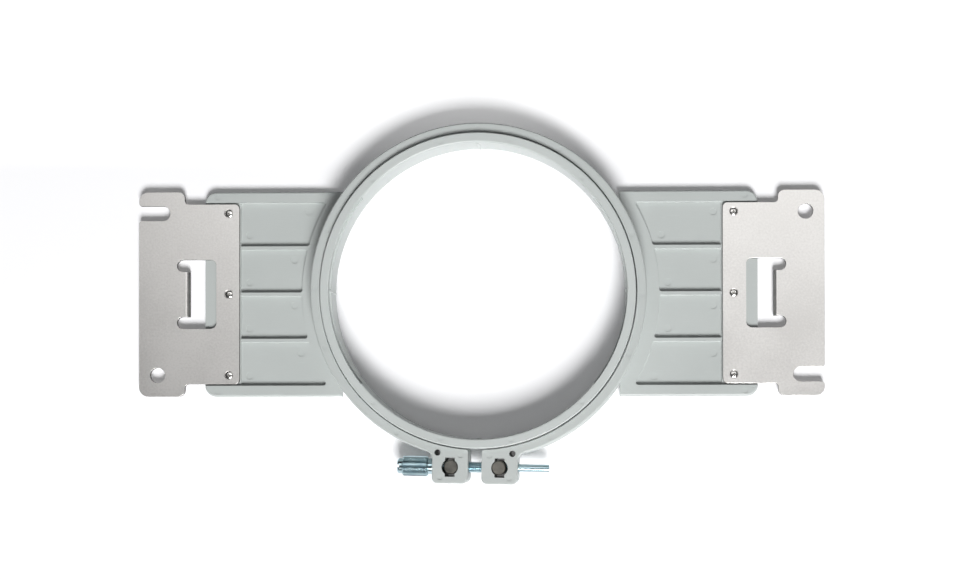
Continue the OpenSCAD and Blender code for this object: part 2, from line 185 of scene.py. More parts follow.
def spin(name, points, axis="Z", centre=(0, 0, 0), steps=FINE, closed=True):
    """Spins a line of (radius, height) points, closed into a ring or ending on the axis."""
    upright = {"Z": lambda r, h: (r, 0, h), "X": lambda r, h: (h, 0, r)}[axis]
    spots = [Vector(upright(r, h)) + Vector(centre) for r, h in points]
    piece = draw(name, spots + spots[:1] if closed else spots, closed=False)
    bpy.ops.object.mode_set(mode="EDIT")
    bpy.ops.mesh.select_all(action="SELECT")
    bpy.ops.mesh.remove_doubles(threshold=0.002)
    bpy.ops.mesh.spin(steps=steps, angle=math.tau, center=centre,
                      axis=(1, 0, 0) if axis == "X" else (0, 0, 1))
    leave_edit()
    close_up(piece)
    return piece


def prism(name, outline, low, high):
    """Extrudes a closed outline from one height to another."""
    piece = draw(name, [(x, y, low) for x, y in outline])
    bpy.ops.object.mode_set(mode="EDIT")
    bpy.ops.mesh.select_all(action="SELECT")
    bpy.ops.mesh.extrude_region_move(TRANSFORM_OT_translate={"value": UP*(high - low)})
    leave_edit()
    close_up(piece)
    return piece


def rod(name, radius, start, length, axis="Z", sides=SMALL):
    """A plain round bar, used for boring holes."""
    turn = (0, math.pi/2, 0) if axis == "X" else (0, 0, 0)
    along = Vector((1, 0, 0)) if axis == "X" else UP
    bpy.ops.object.select_all(action="DESELECT")
    bpy.ops.mesh.primitive_cylinder_add(vertices=sides, radius=radius, depth=length,
                                        location=Vector(start) + along*length/2, rotation=turn)
    piece = bpy.context.object
    piece.name = piece.data.name = name
    bpy.ops.object.transform_apply(location=True, rotation=True, scale=True)
    return piece


print("a turned part has", FINE, "steps round a ring and", SMALL, "round a screw")

# %% [markdown]
# Shapes are put together with booleans, as a mould maker sinks one shape into another. `round_edges`
# takes the sharpness off chosen edges with a bevel, because no moulded or stamped edge is truly sharp:
# its rounding is what catches the light. `finish_surface` shrinks a piece to metres, shades it smooth
# across shallow angles and then weights the normals by face area, which keeps large flats flat.

# %% Combine, round, copy and shade
def combine(piece, tool, how="DIFFERENCE"):
    """Applies a boolean of a tool to a piece and throws the tool away."""
    only(piece)
    step = piece.modifiers.new(how.lower(), "BOOLEAN")
    step.operation, step.solver, step.object = how, "EXACT", tool
    bpy.ops.object.modifier_apply(modifier=step.name)
    bpy.data.objects.remove(tool, do_unlink=True)


def round_edges(piece, test, radius, steps=4):
    """Bevels the edges whose two ends pass a test of their place."""
    chosen = pick(piece, "EDGE", test)
    if chosen:
        bpy.ops.mesh.bevel(offset=radius, segments=steps, affect="EDGES", clamp_overlap=True)
    leave_edit()
    return chosen


def join(pieces, name):
    """Joins pieces into one mesh."""
    only(pieces[0])
    for piece in pieces[1:]:
        piece.select_set(True)
    bpy.ops.object.join()
    pieces[0].name = pieces[0].data.name = name
    return pieces[0]


def copy_turned(piece, name, degrees=0, shift=(0, 0, 0)):
    """A copy with its own mesh, moved and then turned round the rings' axis."""
    twin = piece.copy()
    twin.data = piece.data.copy()
    twin.name = twin.data.name = name
    bpy.context.scene.collection.objects.link(twin)
    turn = Matrix.Rotation(math.radians(degrees), 4, "Z")
    twin.data.transform(turn @ Matrix.Translation(shift))
    return twin


def finish_surface(piece, angle=35):
    """Shrinks a piece to metres and shades it smooth up to an angle."""
    tell(piece)
    piece.data.transform(Matrix.Scale(MM, 4))
    only(piece)
    bpy.ops.object.shade_smooth_by_angle(angle=math.radians(angle))
    step = piece.modifiers.new("weights", "WEIGHTED_NORMAL")
    step.keep_sharp, step.weight = True, 60
    bpy.ops.object.modifier_apply(modifier=step.name)


print("helpers ready: combine, round_edges, join, copy_turned, finish_surface")

# %% [markdown]
# ## The inner ring
# The inner ring is pressed into the outer one with the cloth between them. Its upper inside edge is well
# rounded so that it doesn't mark the cloth, and the outside edge less so. Spinning one half section gives
# the whole ring, and two shallow rebates are then cut in its upper inside edge, one towards each plate.
# `EASE` is the small chamfer at the feet of both rings.

# %% Spin the inner ring
FIELD_R, INNER_R = 75.0, 80.0
INNER_FOOT, INNER_TOP = 3.0, 20.5
ROUND_IN, ROUND_OUT, EASE = 1.0, 0.6, 0.4
REBATE_R, REBATE_LOW, REBATE_STEPS = 75.7, 17.0, 55

field_ring = spin("field_ring", [
    (FIELD_R, INNER_FOOT + EASE), (FIELD_R + EASE, INNER_FOOT),
    (INNER_R - EASE, INNER_FOOT), (INNER_R, INNER_FOOT + EASE),
    *arc(INNER_R - ROUND_OUT, INNER_TOP - ROUND_OUT, ROUND_OUT, 0, 90, 6),
    *arc(FIELD_R + ROUND_IN, INNER_TOP - ROUND_IN, ROUND_IN, 90, 180, 8)])
half_span = REBATE_STEPS/2*360/FINE
for middle in (0, 180):
    reach = arc(0, 0, REBATE_R, middle - half_span, middle + half_span, REBATE_STEPS)
    inside = arc(0, 0, FIELD_R - 3, middle + half_span, middle - half_span, REBATE_STEPS)
    combine(field_ring, prism("rebate", reach + inside, REBATE_LOW, INNER_TOP + 1))
tell(field_ring)

# %% [markdown]
# A moulding is pushed out of its mould by round pins, and each pin leaves a faint disc on the face. They
# are too shallow to matter and too regular to be dirt, so they are modelled: a thin disc is sunk into the
# surface at each place. The inner ring also has four small ribs inside, the marks for centring the cloth.

# %% Pin marks and centre marks on the inner ring
PIN_DEPTH = 0.3
MARK_R, MARK_OUT, MARK_LENGTH = 0.6, 0.35, 14.2


def pin_marks(piece, places, radius, top):
    """Sinks shallow discs into a face at the given places."""
    discs = [rod("disc", radius, (x, y, top - PIN_DEPTH), 1, sides=32) for x, y in places]
    combine(piece, join(discs, "discs"))


def round_the_rings(radius, angles):
    """Points at one radius, at the given angles in degrees."""
    return [(radius*math.cos(math.radians(a)), radius*math.sin(math.radians(a))) for a in angles]


centre_ribs = [rod("rib", MARK_R, (x, y, INNER_FOOT + EASE), MARK_LENGTH, sides=16)
               for x, y in round_the_rings(FIELD_R + MARK_R - MARK_OUT, (0, 90, 180, 270))]
combine(field_ring, join(centre_ribs, "ribs"), "UNION")
pin_marks(field_ring, round_the_rings(77.4, (47, 78, 104, 133.5, 227, 256, 282.5, 313)),
          1.1, INNER_TOP)
finish_surface(field_ring)

# %% [markdown]
# ## The outer ring
# The moulding starts with the outer ring's wall. Its foot has a low rim that stands out a little, at the
# height of the arms, and wall and rim come from one half section. Arms and lugs are flush with the ring
# above and below, and a boolean is uncertain where two faces lie in one plane, so the ring is made a
# hair's breadth thinner than they are: a twentieth of a millimetre, which nobody can see.

# %% Spin the outer ring
BORE_R, OUTER_R, RIM_R = 80.6, 85.5, 86.06
OUTER_TOP, ARM_TOP, HAIR = 18.0, 4.2, 0.05
RIM_ROUND, OUTER_ROUND = 0.6, 1.0
hoop_moulding = spin("hoop_moulding", [
    (BORE_R, EASE), (BORE_R + EASE, HAIR), (RIM_R - EASE, HAIR), (RIM_R, EASE),
    *arc(RIM_R - RIM_ROUND, ARM_TOP - HAIR - RIM_ROUND, RIM_ROUND, 0, 90, 5),
    *arc(OUTER_R - OUTER_ROUND, OUTER_TOP - HAIR - OUTER_ROUND, OUTER_ROUND, 0, 90, 8),
    *arc(BORE_R + EASE, OUTER_TOP - HAIR - EASE, EASE, 90, 180, 4)])
tell(hoop_moulding)

# %% [markdown]
# ## The arms
# Each arm is a flat tray: a thin floor, a flange along both edges and three ribs. It is made as the mould
# is: a slab with rounded outside edges, from which four pockets and the seat for the metal plate are sunk.
# A pocket's inner end follows the ring, so its outline has an arc there.

# %% Sink the pockets of one arm
ARM_HALF, ARM_START, ARM_END, ARM_CORNER, FLANGE_IN = 53.2, 72, 143.3, 6, 47.5
TOP_ROUND, FOOT_ROUND = 1.2, 0.3
FLOOR_TOP, SEAT_TOP, POCKET_END, POCKET_START_R = 2.0, 2.6, 124.6, 92.5
POCKET_CORNER, POCKET_CURVE, POCKET_FOOT = 0.6, 1.2, 0.35
RIB_HALF, RIB_PITCH = 0.8, 24.0

arm = prism("arm", rounded([(ARM_START, -ARM_HALF, 0), (ARM_END, -ARM_HALF, ARM_CORNER),
                            (ARM_END, ARM_HALF, ARM_CORNER), (ARM_START, ARM_HALF, 0)], 10), 0, ARM_TOP)
outside = lambda a, b: max(a.x, b.x) > ARM_START + 0.1
round_edges(arm, lambda a, b: min(a.z, b.z) > ARM_TOP - 0.1 and outside(a, b), TOP_ROUND, 6)
round_edges(arm, lambda a, b: max(a.z, b.z) < 0.1 and outside(a, b), FOOT_ROUND, 2)
walls = [-FLANGE_IN, -RIB_PITCH, 0, RIB_PITCH, FLANGE_IN]
for i in range(4):
    low = walls[i] + (0 if i == 0 else RIB_HALF)
    high = walls[i + 1] - (0 if i == 3 else RIB_HALF)
    ends = [math.degrees(math.asin(y/POCKET_START_R)) for y in (high, low)]
    curve = arc(0, 0, POCKET_START_R, *ends, 16)
    corners = [(POCKET_END, low, POCKET_CORNER), (POCKET_END, high, POCKET_CORNER),
               (*curve[0], POCKET_CURVE), *[(x, y, 0) for x, y in curve[2:-2]],
               (*curve[-1], POCKET_CURVE)]
    pocket = prism("pocket", rounded(corners, 4), FLOOR_TOP, ARM_TOP + 2)
    round_edges(pocket, lambda a, b: max(a.z, b.z) < FLOOR_TOP + 0.01, POCKET_FOOT, 3)
    combine(arm, pocket)
tell(arm)

# %% [markdown]
# The seat is a step lower than the flanges and a little higher than the pocket floor, and it runs out
# under the plate. Its cutter flares round the flange's end, which leaves that corner rounded. The sharp
# upper edges that the cutters left are then rounded in one go, because they all lie at the arm's top.

# %% Cut the seat and round the ribs
SEAT_START, SEAT_PAST, SEAT_FLARE = POCKET_END - 0.3, ARM_END + 4, FLANGE_IN + 2
seat = rounded([(SEAT_START, -FLANGE_IN, 0), (ARM_END, -FLANGE_IN, 1), (ARM_END, -SEAT_FLARE, 0),
                (SEAT_PAST, -SEAT_FLARE, 0), (SEAT_PAST, SEAT_FLARE, 0), (ARM_END, SEAT_FLARE, 0),
                (ARM_END, FLANGE_IN, 1), (SEAT_START, FLANGE_IN, 0)])
combine(arm, prism("seat", seat, SEAT_TOP, ARM_TOP + 2))
inner_edge = lambda p: (p.z > ARM_TOP - 0.01 and abs(p.y) < FLANGE_IN + 0.01
                        and p.x > ARM_START + 5)
rounded_count = round_edges(arm, lambda a, b: inner_edge(a) and inner_edge(b), 0.25, 3)
print("edges rounded at the top:", rounded_count)

# %% [markdown]
# The pin marks of one arm are half a turn from those of the other, as the whole arm is, so both arms come
# from one mesh. The inner end is trimmed to a cylinder that lies inside the ring's wall.

# %% Mark the arm and copy it to the other side
floor_pins = [(120.4, -31.0), (120.4, -6.3), (120.4, 17.7), (120.4, 42.3),
              (89.6, -43.0), (96.9, -18.0), (96.9, 5.8), (93.6, 30.4)]
pin_marks(arm, floor_pins, 1.9, FLOOR_TOP)
pin_marks(arm, [(136.5, 50.5), (136.5, -50.5)], 1.5, ARM_TOP)
IN_WALL = BORE_R + 2.3
combine(arm, rod("trim", IN_WALL, (0, 0, -1), 7, sides=FINE))
left_arm = copy_turned(arm, "left_arm", 180)
tell(arm)

# %% [markdown]
# ## The clamp lugs
# The ring is split on its near side, with a lug on each side of the gap. A lug is a block with a fillet
# where it leaves the ring. The clamp sits a degree off the hoop's middle, so both lugs are made straight
# in the clamp's own frame and turned at the end.

# %% Make the two lugs
CLAMP_TURN = -1.15
LUG_IN, LUG_OUT, LUG_FRONT, LUG_CORNER = 3.5, 21.75, -98.0, 3
LUG_MID = (LUG_IN + LUG_OUT)/2
SCREW_Y, SCREW_Z = -89.65, 9.5
FILLET = 4.0
fillet_x = LUG_OUT + FILLET
fillet_y = -math.sqrt((OUTER_R + FILLET)**2 - fillet_x**2)
touch = math.degrees(math.atan2(-fillet_y, -fillet_x))
root = round_the_rings(83, (-87.6, -83, -78, -73.3))
fillet = arc(fillet_x, fillet_y, FILLET, touch, 180, 8)
lug_outline = [(x, y, 0) for x, y in root + fillet]
lug_outline += [(LUG_OUT, LUG_FRONT, LUG_CORNER), (LUG_IN, LUG_FRONT, LUG_CORNER)]
lug = prism("lug", rounded(lug_outline, 8), 0, OUTER_TOP)
off_ring = lambda p: p.xy.length > OUTER_R - 0.3 and p.x > LUG_IN + 0.01
outside = lambda a, b: off_ring(a) or off_ring(b)
round_edges(lug, lambda a, b: min(a.z, b.z) > OUTER_TOP - 0.1 and outside(a, b), TOP_ROUND, 6)
round_edges(lug, lambda a, b: max(a.z, b.z) < 0.1 and outside(a, b), FOOT_ROUND, 2)
tell(lug)

# %% [markdown]
# Arms and lugs join the ring in a single union. The cuts then go through ring and lugs together: the gap,
# the barrel bores with their keyways, the hole for the screw and two plain side holes. The gap's corners
# beside the inner ring are rounded by a cutter that is a block less a rod.

# %% Join the lugs and cut the clamp
def mirrored(piece):
    """A copy on the other side of the gap."""
    twin = copy_turned(piece, piece.name + "_twin")
    twin.data.transform(Matrix.Scale(-1, 4, (1, 0, 0)))
    twin.data.flip_normals()
    return twin


def turned(piece):
    """Turns a piece by the clamp's degree about the rings' axis."""
    piece.data.transform(Matrix.Rotation(math.radians(CLAMP_TURN), 4, "Z"))
    return piece


def block(name, low, high):
    """A box between two opposite corners."""
    corners = [(low[0], low[1]), (high[0], low[1]), (high[0], high[1]), (low[0], high[1])]
    return prism(name, corners, low[2], high[2])


lugs = [turned(mirrored(lug)), turned(lug)]
combine(hoop_moulding, join([arm, left_arm] + lugs, "limbs"), "UNION")
tell(hoop_moulding)

KEY_HALF, KEY_REACH, BORE_HALF, SCREW_HOLE_R = 2.5, 4.85, 4.2, 3.3
SIDE_X, SIDE_Y, SIDE_R = 19.0, -82.336, 1.6
GAP_CORNER, GAP_CORNER_Y = 1.7, -82.14
CUT_LOW, CUT_HIGH = -1, 19
corner = block("corner", (2, GAP_CORNER_Y, CUT_LOW), (5.09, -79.6, CUT_HIGH))
combine(corner, rod("rounding", GAP_CORNER, (LUG_IN + GAP_CORNER, GAP_CORNER_Y, CUT_LOW - 1), 22))
bore = rod("bore", BORE_HALF, (LUG_MID, SCREW_Y, CUT_LOW), 20)
key = block("key", (LUG_MID - KEY_HALF, SCREW_Y - KEY_REACH, CUT_LOW),
            (LUG_MID + KEY_HALF, SCREW_Y + KEY_REACH, CUT_HIGH))
combine(bore, key, "UNION")
side_hole = rod("side_hole", SIDE_R, (SIDE_X, SIDE_Y, CUT_LOW), 20, sides=48)
for cutter in (corner, bore, side_hole):
    combine(hoop_moulding, turned(mirrored(cutter)))
    combine(hoop_moulding, turned(cutter))
combine(hoop_moulding, turned(block("gap", (-LUG_IN, LUG_FRONT - 1, CUT_LOW), (LUG_IN, -79, CUT_HIGH))))
combine(hoop_moulding, turned(rod("screw_hole", SCREW_HOLE_R, (-23, SCREW_Y, SCREW_Z), 46, "X")))
close_up(hoop_moulding)
tell(hoop_moulding)

# %% [markdown]
# The bores and side holes have a small chamfer at the top, which shows in the photograph as a thin bright
# rim. After that the last pin marks go on the faces that the joining made, and the whole moulding gets its
# smooth shading.

# %% Chamfer the holes and mark the ring and the lugs
def round_a_hole(p):
    """True for a point at the top edge of a bore, keyway or side hole."""
    x, y = (Matrix.Rotation(math.radians(-CLAMP_TURN), 2) @ p.xy)
    bore_edge = math.hypot(abs(x) - LUG_MID, y - SCREW_Y) < KEY_REACH + 0.75
    side_edge = math.hypot(abs(x) - SIDE_X, y - SIDE_Y) < SIDE_R + 0.05
    return p.z > OUTER_TOP - 1e-3 and (bore_edge or side_edge)


HOLE_CHAMFER, PIN_R = 0.28, 1.25
holes_done = round_edges(hoop_moulding, lambda a, b: round_a_hole(a) and round_a_hole(b),
                         HOLE_CHAMFER, 2)
print("hole edges chamfered:", holes_done)
ring_pins = round_the_rings(82.9, (-1.4, 20, 60, 90, 119, 158, 179, 200, 240, 296, 337))
pin_marks(hoop_moulding, ring_pins, PIN_R, OUTER_TOP)
clamp_turn = Matrix.Rotation(math.radians(CLAMP_TURN), 2)
lug_pins = [clamp_turn @ Vector((side*x, y))
            for x, y in ((7.35, -83.6), (17.6, -95.0)) for side in (-1, 1)]
pin_marks(hoop_moulding, lug_pins, PIN_R, OUTER_TOP)
finish_surface(hoop_moulding)

# %% [markdown]
# ## The mount plates
# Each plate is a stamping: one outline with an open notch, a round hole, a window with a tongue bent down
# at its outer edge, and three countersinks. A punch pulls the sheet's upper edge down a little as it cuts,
# and that rolled edge is the bright line round the plate in the photograph. The outline is drawn once for
# the right side, and the left plate is the same stamping half a turn round.

# %% Stamp one plate
PLATE_IN, PLATE_OUT, PLATE_HALF, EAR_HALF, EAR_IN = 125.2, 177.49, 46.7, 53.1, 153.6
PLATE_LOW, PLATE_TOP = 2.6, 4.4
NOTCH_Y, NOTCH_HALF, NOTCH_END, HOLE_R, HOLE_X = 42.0, 3.8, 165.1, 3.9, 167.8
WINDOW_IN, WINDOW_HALF, LIP_X = 137.2, 17.9, 151.5
RELIEF_R, RELIEF_Y, RELIEF_END = 3.1, 14.8, 157.7
SCREW_X, SCREW_SPOTS = 130.8, (42.0, 0.0, -42.0)

outer_edge = rounded([
    (PLATE_IN, -PLATE_HALF, 2.4), (EAR_IN, -PLATE_HALF, 1.9), (EAR_IN, -EAR_HALF, 3.4),
    (PLATE_OUT, -EAR_HALF, 4.8), (PLATE_OUT, -NOTCH_Y - NOTCH_HALF, 1.5),
    (NOTCH_END - NOTCH_HALF, -NOTCH_Y - NOTCH_HALF, NOTCH_HALF - 0.001),
    (NOTCH_END - NOTCH_HALF, -NOTCH_Y + NOTCH_HALF, NOTCH_HALF - 0.001),
    (PLATE_OUT, -NOTCH_Y + NOTCH_HALF, 1.5), (PLATE_OUT, EAR_HALF, 4.8), (EAR_IN, EAR_HALF, 3.4),
    (EAR_IN, PLATE_HALF, 1.9), (PLATE_IN, PLATE_HALF, 2.4)], 8)
plate = prism("plate", outer_edge, PLATE_LOW, PLATE_TOP)
relief_in = RELIEF_Y - RELIEF_R
BEND_X = LIP_X + PLATE_TOP - PLATE_LOW
window = rounded([
    (WINDOW_IN, -WINDOW_HALF, RELIEF_R), (RELIEF_END, -WINDOW_HALF, RELIEF_R - 0.001),
    (RELIEF_END, -relief_in, RELIEF_R - 0.001), (BEND_X, -relief_in, 0), (BEND_X, relief_in, 0),
    (RELIEF_END, relief_in, RELIEF_R - 0.001), (RELIEF_END, WINDOW_HALF, RELIEF_R - 0.001),
    (WINDOW_IN, WINDOW_HALF, RELIEF_R)], 8)
combine(plate, prism("window", window, 0, 9))
combine(plate, rod("hole", HOLE_R, (HOLE_X, NOTCH_Y, 0), 9))
tell(plate)

# %% [markdown]
# The tongue is the window's own metal, bent down at its outer edge to stiffen the plate. It is bent here
# too: the face between the two relief cuts is spun a quarter turn about the sheet's lower edge and then
# drawn out to length. All upper edges are then rolled over by half a millimetre, down the tongue's sides
# as well. The countersinks come last, because a screw's seat is cut after stamping and stays crisp.

# %% Bend the tongue, roll the edges and sink the screws
LIP_LOW, ROLL = 0.7, 0.5
pick(plate, "FACE", lambda *points: all(abs(p.x - BEND_X) < 0.01 and abs(p.y) < relief_in + 0.01
                                        for p in points))
bpy.ops.mesh.spin(steps=8, angle=math.pi/2, center=(BEND_X, 0, PLATE_LOW), axis=(0, 1, 0))
bpy.ops.mesh.extrude_region_move(TRANSFORM_OT_translate={"value": (0, 0, LIP_LOW - PLATE_LOW)})
leave_edit()
close_up(plate)


def rolled(a, b):
    """The upper edges, and the outer edges of the tongue's two sides."""
    across = abs(a.y - b.y) > 20 and max(a.x, b.x) < BEND_X + 0.01
    upper = min(a.z, b.z) > PLATE_TOP - 0.01
    bend = all(abs(abs(p.y) - relief_in) < 0.01 and p.x < BEND_X + 0.01 and p.z > LIP_LOW - 0.01
               and (p.x < LIP_X + 0.01 or math.hypot(p.x - BEND_X, p.z - PLATE_LOW) > 1.75)
               for p in (a, b))
    return (upper and not across) or (bend and not across)


print("edges rolled:", round_edges(plate, rolled, ROLL, 5))
for y in SCREW_SPOTS:
    sink = spin("sink", [(0, 9), (2.3, 9), (2.3, 4.2), (1.35, 3.25), (1.35, 0), (0, 0)],
                centre=(SCREW_X, y, 0), steps=SMALL, closed=False)
    combine(plate, sink)
plate.name = plate.data.name = "right_stamped_plate"
finish_surface(plate)
left_plate = copy_turned(plate, "left_stamped_plate", 180)

# %% [markdown]
# ## The plate screws
# Six small countersunk screws hold the plates. From above only the head shows: it is slightly domed and
# has a cross recess. The dome matters, because its slopes mirror the dark sides of the room, and so the
# head shows as a dark ring. Head and shank are spun as one, and the recess is sunk with two crossed
# wedges that narrow downwards, as the punch does.

# %% Make one screw and place six
HEAD_R, HEAD_TOP, SHANK_R, SCREW_LOW = 2.2, 4.4, 1.25, 0.8
plate_screw = spin("plate_screw", [
    (0, HEAD_TOP), (0.7, HEAD_TOP - 0.03), (1.3, HEAD_TOP - 0.14), (1.8, HEAD_TOP - 0.34),
    (HEAD_R - 0.06, HEAD_TOP - 0.56), (HEAD_R, HEAD_TOP - 0.7), (SHANK_R, HEAD_TOP - 1.5),
    (SHANK_R, SCREW_LOW + 0.3), (SHANK_R - 0.3, SCREW_LOW), (0, SCREW_LOW)], steps=48, closed=False)
for turned_by in (45, 135):
    bpy.ops.object.select_all(action="DESELECT")
    bpy.ops.mesh.primitive_cone_add(vertices=4, radius1=0, radius2=2.0, depth=1.5,
                                    location=(0, 0, HEAD_TOP - 0.3), rotation=(0, 0, math.pi/4))
    wedge = bpy.context.object
    bpy.ops.object.transform_apply(location=True, rotation=True, scale=True)
    squash = Matrix.Diagonal((1.05, 0.27, 1, 1))
    wedge.data.transform(Matrix.Rotation(math.radians(turned_by), 4, "Z") @ squash)
    combine(plate_screw, wedge)
finish_surface(plate_screw, 30)
TURNS = {"left_plate_screw_back": 12, "left_plate_screw_middle": 71, "left_plate_screw_front": 38,
         "right_plate_screw_back": 55, "right_plate_screw_middle": 20, "right_plate_screw_front": 4}
small_screws = {}
for node, degrees in TURNS.items():
    low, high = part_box(node)
    screw = copy_turned(plate_screw, node.replace("plate_screw", "cross_screw"), degrees)
    screw.data.transform(Matrix.Translation(((low.x + high.x)/2, (low.y + high.y)/2, 0)))
    small_screws[node] = screw
bpy.data.objects.remove(plate_screw, do_unlink=True)
print("screws placed:", len(small_screws))

# %% [markdown]
# ## The thumbscrew
# The clamp screw lies along the near side. Its knurled head is a cylinder whose sides are ridged by
# pulling every other pair of edges inwards, trimmed to a turned barrel so that the ridges run out in
# chamfers. A slotted dome closes its outer end.

# %% Cut the knurled head
HEAD_OUT_R, KNURLS, KNURL_DEPTH = 5.15, 40, 0.4
DOME_X, HEAD_X, COLLAR_X = -37.72, -24.42, -21.77
DOME_END, COLLAR_R = -40.62, 4.0
screw_line = (0, SCREW_Y, SCREW_Z)
knurled_head = rod("knurled_head", HEAD_OUT_R, (DOME_X - 1, SCREW_Y, SCREW_Z), HEAD_X - DOME_X + 2,
                   "X", 4*KNURLS)


def in_groove(p):
    """True for two corners out of every four round the head."""
    angle = math.degrees(math.atan2(p.z - SCREW_Z, p.y - SCREW_Y))
    return int(round(angle/(90/KNURLS))) % 4 >= 2


pick(knurled_head, "VERT", in_groove)
squeeze = 1 - KNURL_DEPTH/HEAD_OUT_R
bpy.ops.transform.resize(value=(1, squeeze, squeeze), center_override=screw_line)
leave_edit()
trim_r = HEAD_OUT_R + 0.02
barrel_shape = spin("barrel_shape", [
    (0, DOME_X), (trim_r - 0.9, DOME_X), (trim_r - 0.35, DOME_X + 0.3), (trim_r, DOME_X + 0.9),
    (trim_r, HEAD_X - 0.9), (trim_r - 0.35, HEAD_X - 0.3), (trim_r - 0.9, HEAD_X), (0, HEAD_X)],
    "X", screw_line, SMALL, closed=False)
combine(knurled_head, barrel_shape, "INTERSECT")
dome = spin("dome", [(0, DOME_X + 1), (COLLAR_R, DOME_X + 1),
                     *[(r, DOME_X - 1.4 - h) for r, h in arc(COLLAR_R - 1.2, 0, 1.2, 0, 90, 6)],
                     (0, DOME_END)], "X", screw_line, SMALL, closed=False)
combine(knurled_head, dome, "UNION")
combine(knurled_head, block("slot", (DOME_END - 1, SCREW_Y - 0.75, SCREW_Z - 5),
                            (DOME_END + 1.6, SCREW_Y + 0.75, SCREW_Z + 5)))
tell(knurled_head)

# %% [markdown]
# The thread starts as one tooth, a line one pitch long. The Screw modifier winds it round the axis, and
# because each turn ends where the next begins, the turns merge into one long tube. Its ragged ends are cut
# off square with bisect, which also closes them. The winding rises as the screw turns clockwise, so it is
# an ordinary right-hand thread.

# %% Wind the thread
THREAD_R, PITCH, THREAD_DEPTH = 3.0, 1.0, 0.61
THREAD_END, DOG_R, TIP_X = 17.8, 1.95, 37.55
ROOT_R = THREAD_R - THREAD_DEPTH
thread = draw("thread", [(0, 0, ROOT_R), (0.05, 0, ROOT_R), (0.44, 0, THREAD_R), (0.56, 0, THREAD_R),
                         (0.95, 0, ROOT_R), (1.0, 0, ROOT_R)], closed=False)
wind = thread.modifiers.new("wind", "SCREW")
wind.axis, wind.angle, wind.screw_offset = "X", math.tau, PITCH
wind.steps = wind.render_steps = 32
wind.iterations = int((THREAD_END - COLLAR_X)/PITCH) + 4
wind.use_merge_vertices, wind.merge_threshold = True, 0.001
bpy.ops.object.modifier_apply(modifier="wind")
thread.data.transform(Matrix.Translation((COLLAR_X - 2, 0, 0)))
close_up(thread)
for x, keep_above in ((COLLAR_X - 0.4, True), (THREAD_END, False)):
    pick(thread, "VERT", lambda p: True)
    bpy.ops.mesh.bisect(plane_co=(x, 0, 0), plane_no=(1, 0, 0), use_fill=True,
                        clear_inner=keep_above, clear_outer=not keep_above)
    leave_edit()
thread.data.transform(Matrix.Translation((0, SCREW_Y, SCREW_Z)))
close_up(thread)
tell(thread)

# %% [markdown]
# Collar and dog point are turned, and the head, the collar, the thread and the point are joined by
# unions, one after another along the screw. Doubles are merged afterwards, since a boolean sometimes
# leaves two points where one is enough.

# %% Join the thumbscrew
collar = spin("collar", [(0, HEAD_X - 1.5), (COLLAR_R, HEAD_X - 1.5), (COLLAR_R, COLLAR_X - 0.35),
                         (COLLAR_R - 0.1, COLLAR_X - 0.1), (COLLAR_R - 0.35, COLLAR_X), (0, COLLAR_X)],
              "X", screw_line, SMALL, closed=False)
dog = spin("dog", [(0, THREAD_END - 1), (DOG_R, THREAD_END - 1), (DOG_R, TIP_X - 0.4),
                   (DOG_R - 0.1, TIP_X - 0.15), (DOG_R - 0.4, TIP_X), (0, TIP_X)],
           "X", screw_line, SMALL, closed=False)
for part in (collar, thread, dog):
    combine(knurled_head, part, "UNION")
close_up(knurled_head)
thumbscrew = turned(knurled_head)
thumbscrew.name = thumbscrew.data.name = "knurled_thumbscrew"
finish_surface(thumbscrew, 30)

# %% [markdown]
# ## The clamp barrels
# A barrel sits upright in each lug and lets the screw line up by itself as the gap closes. It is a short
# turned bar with chamfered ends, bored crosswise for the screw. The two differ only in which way they are
# pulled: both bear on the sides of their bores that face the gap.

# %% Turn and bore the two barrels
BARREL_R, BARREL_LOW, BARREL_TOP, BARREL_X, BARREL_EASE = 3.65, 0.7, 17.3, 12.125, 0.5
profile = [(0, BARREL_LOW), (BARREL_R - BARREL_EASE, BARREL_LOW), (BARREL_R, BARREL_LOW + BARREL_EASE),
           (BARREL_R, BARREL_TOP - BARREL_EASE), (BARREL_R - BARREL_EASE, BARREL_TOP), (0, BARREL_TOP)]
barrels = {}
for node, x in (("clamp_barrel", -BARREL_X), ("clamp_nut", BARREL_X)):
    barrel = spin("swivel_" + node, profile, centre=(x, SCREW_Y, 0), steps=SMALL, closed=False)
    combine(barrel, rod("cross_hole", SCREW_HOLE_R, (x - 6, SCREW_Y, SCREW_Z), 12, "X"))
    barrels[node] = turned(barrel)
    finish_surface(barrel)

# %% [markdown]
# ## Patterns shared by the finishes
# No real surface has one colour. Three node groups give the variation, each built once and used by
# several materials with its own numbers. `fine grain` is the small relief of moulded or blasted surfaces,
# `soft clouds` is the slow drift of tone that a batch of plastic or plating has, and `light scuffs` is a
# mask of short fine scratches that go all ways.

# %% Build the pattern groups
def new_group(name, inputs, outputs):
    """A shader node group with named inputs (with start values) and outputs."""
    group = bpy.data.node_groups.new(name, "ShaderNodeTree")
    for title, start in inputs.items():
        socket = group.interface.new_socket(title, in_out="INPUT", socket_type="NodeSocketFloat")
        socket.default_value = start
    for title, kind in outputs.items():
        group.interface.new_socket(title, in_out="OUTPUT", socket_type=kind)
    return group, group.nodes.new("NodeGroupInput"), group.nodes.new("NodeGroupOutput")


